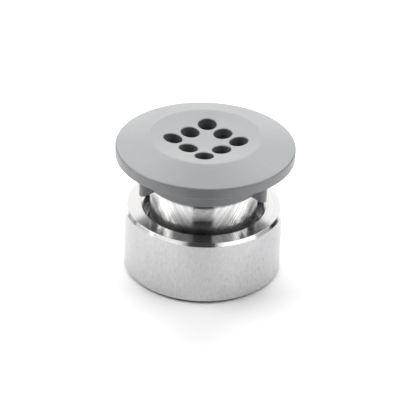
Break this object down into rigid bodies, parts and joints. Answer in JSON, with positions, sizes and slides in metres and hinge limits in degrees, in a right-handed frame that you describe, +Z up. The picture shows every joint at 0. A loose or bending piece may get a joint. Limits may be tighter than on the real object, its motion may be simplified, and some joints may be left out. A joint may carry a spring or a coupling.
{
  "type": "steam trap",
  "caption": "Small steam trap and vent valve: a steel sleeve, a sprung bell-shaped plunger with a ball relief valve inside, and a dished, perforated plastic cap that presses and turns.",
  "frame": {"origin": "centre of the circle that the sleeve stands on", "axes": "+Z up along the valve's axis, towards the cap; -Y faces the viewer"},
  "size_m": [0.0394, 0.0394, 0.0321],
  "materials": {
    "sleeve_steel": "fine brushed wall, faced rim, polished chamfers",
    "base_steel": "turned",
    "bell_steel": "fine turned, near mirror",
    "inner_steel": "turned",
    "spring_steel": "drawn wire",
    "ball_steel": "ground and polished",
    "brass": "turned",
    "silicone": "matt moulded",
    "ptfe": "matt",
    "cap_plastic": "fine matt moulded"
  },
  "bodies": {
    "housing": {"sleeve": "sleeve_steel", "guide_ring": "inner_steel", "seat_gasket": "silicone", "base_cup": "base_steel", "inlet_seal": "silicone", "inlet_screen": "inner_steel", "return_spring": "spring_steel"},
    "plunger": {"bell_plunger": "bell_steel", "spring_washer": "inner_steel", "relief_seat": "inner_steel", "relief_spring": "spring_steel", "adjusting_screw": "brass", "lock_nut": "brass", "thrust_washer": "ptfe", "neck_o_ring": "silicone", "cap_circlip": "spring_steel"},
    "relief": {"relief_ball": "ball_steel", "ball_follower": "inner_steel"},
    "cap": {"vent_cap": "cap_plastic"}
  },
  "joints": [
    {"name": "plunger_press", "type": "slide", "parent": "housing", "child": "plunger", "axis": [0, 0, 1], "range_m": [-0.0052, 0], "stiffness_N_per_m": 400, "springref_m": 0.003, "deforming": ["return_spring"]},
    {"name": "relief_lift", "type": "slide", "parent": "plunger", "child": "relief", "axis": [0, 0, 1], "range_m": [0, 0.0008], "stiffness_N_per_m": 900, "springref_m": -0.0012, "deforming": ["relief_spring"]},
    {"name": "cap_turn", "type": "hinge", "parent": "plunger", "child": "cap", "pos_m": [0, 0, 0.0246], "axis": [0, 0, 1], "continuous": true}
  ]
}
